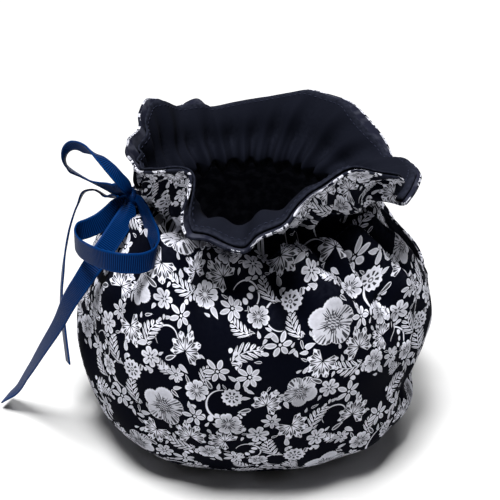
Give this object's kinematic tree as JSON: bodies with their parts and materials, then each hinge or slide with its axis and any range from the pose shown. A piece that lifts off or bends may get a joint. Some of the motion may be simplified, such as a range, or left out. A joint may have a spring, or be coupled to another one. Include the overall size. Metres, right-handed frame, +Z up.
{
  "type": "tea cosy",
  "caption": "Drawstring cotton cover that keeps a round teapot warm, with eyes for handle and spout, a lined ruffle and a ribbon tied in a bow.",
  "frame": {"origin": "middle of the cover's width and depth, on the surface that its hem rests on", "axes": "+Z up, +X towards the spout side, -Y towards the front"},
  "size_m": [0.2369, 0.1839, 0.1772],
  "materials": {
    "print_cotton": "near-black navy cotton printed with white and pale grey flowers",
    "lining_cotton": "plain near-black navy cotton",
    "ribbon": "blue ribbed ribbon with a slight sheen"
  },
  "bodies": {
    "root": {"panel_front": "print_cotton", "panel_back": "print_cotton", "lining_front": "lining_cotton", "lining_back": "lining_cotton", "ribbon_knot": "ribbon", "ribbon_loop_upper": "ribbon", "ribbon_loop_lower": "ribbon", "ribbon_tail_long": "ribbon", "ribbon_tail_short": "ribbon"}
  },
  "joints": []
}
